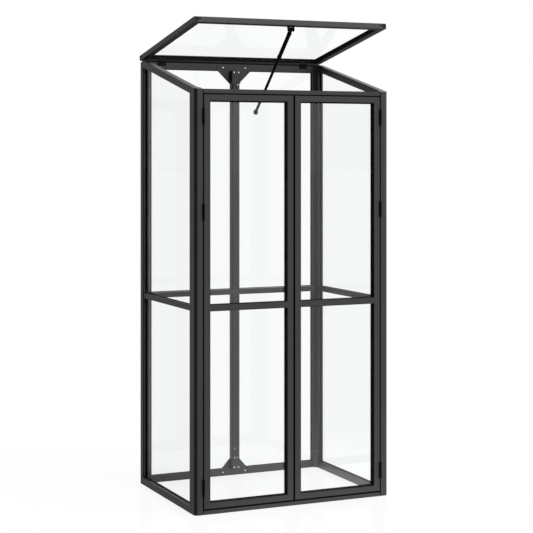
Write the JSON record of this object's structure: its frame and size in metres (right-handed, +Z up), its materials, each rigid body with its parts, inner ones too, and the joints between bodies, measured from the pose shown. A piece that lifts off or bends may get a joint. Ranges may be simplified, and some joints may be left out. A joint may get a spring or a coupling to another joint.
{
  "type": "glass greenhouse",
  "caption": "Tall narrow glass greenhouse with a slim black aluminium frame, glazed walls, hinged glazed front doors and a sloping glazed roof lid held open by a stay.",
  "frame": {"origin": "middle of the footprint on the ground", "axes": "+Z up, the front with its doors looks along -Y, X runs across the width"},
  "size_m": [0.8, 0.6176, 1.8205],
  "materials": {
    "door_frame": "matt black powder coat",
    "door_glass": "clear polished",
    "end_plug": "moulded black",
    "gusset_plate": "matt black powder coat",
    "hinge_metal": "satin black",
    "lid_frame": "matt black powder coat",
    "lid_glass": "clear polished",
    "main_frame": "matt black powder coat",
    "seal_rubber": "dull black",
    "stay_bracket": "satin black",
    "stay_rod": "satin black",
    "stay_sleeve": "moulded black",
    "wall_glass": "clear polished"
  },
  "bodies": {
    "frame": {"back_centre_post": "main_frame", "back_base_rail": "main_frame", "back_mid_rail": "main_frame", "back_top_rail": "main_frame", "front_threshold_rail": "main_frame", "front_eave_rail": "main_frame", "gussets": "gusset_plate", "back_glass": "wall_glass", "side_glass": "wall_glass", "hinge_frame_halves": "hinge_metal", "back_rain_seal": "seal_rubber", "front_left_post": "main_frame", "front_right_post": "main_frame", "back_left_post": "main_frame", "back_right_post": "main_frame", "left_base_rail": "main_frame", "right_base_rail": "main_frame", "left_mid_rail": "main_frame", "right_mid_rail": "main_frame", "left_sloping_rail": "main_frame", "right_sloping_rail": "main_frame"},
    "left_door": {"left_door_hinge_stile": "door_frame", "left_door_meeting_stile": "door_frame", "left_door_top_rail": "door_frame", "left_door_mid_rail": "door_frame", "left_door_bottom_rail": "door_frame", "left_door_glass": "door_glass", "left_door_hinge_door_halves": "hinge_metal"},
    "right_door": {"right_door_hinge_stile": "door_frame", "right_door_meeting_stile": "door_frame", "right_door_top_rail": "door_frame", "right_door_mid_rail": "door_frame", "right_door_bottom_rail": "door_frame", "right_door_glass": "door_glass", "right_door_hinge_door_halves": "hinge_metal"},
    "lid": {"lid_front_rail": "lid_frame", "lid_back_rail": "lid_frame", "lid_left_rail": "lid_frame", "lid_right_rail": "lid_frame", "lid_glass": "lid_glass", "lid_hinge_lid_halves": "hinge_metal", "lid_end_plugs": "end_plug", "stay_bracket": "stay_bracket"},
    "stay": {"stay_sleeve": "stay_sleeve", "stay_rod": "stay_rod"}
  },
  "joints": [
    {"name": "left_door_hinge", "type": "hinge", "parent": "frame", "child": "left_door", "pos_m": [-0.36625, -0.3046, 0.77], "axis": [0, 0, -1], "range_deg": [0, 160]},
    {"name": "right_door_hinge", "type": "hinge", "parent": "frame", "child": "right_door", "pos_m": [0.36625, -0.3046, 0.77], "axis": [0, 0, 1], "range_deg": [0, 160]},
    {"name": "lid_hinge", "type": "hinge", "parent": "frame", "child": "lid", "pos_m": [0, 0.2724, 1.68997], "axis": [-1, 0, 0], "range_deg": [-23.8, 0]},
    {"name": "stay_pivot", "type": "hinge", "parent": "lid", "child": "stay", "pos_m": [0, -0.27178, 1.78497], "axis": [-1, 0, 0], "range_deg": [-20, 44]}
  ]
}
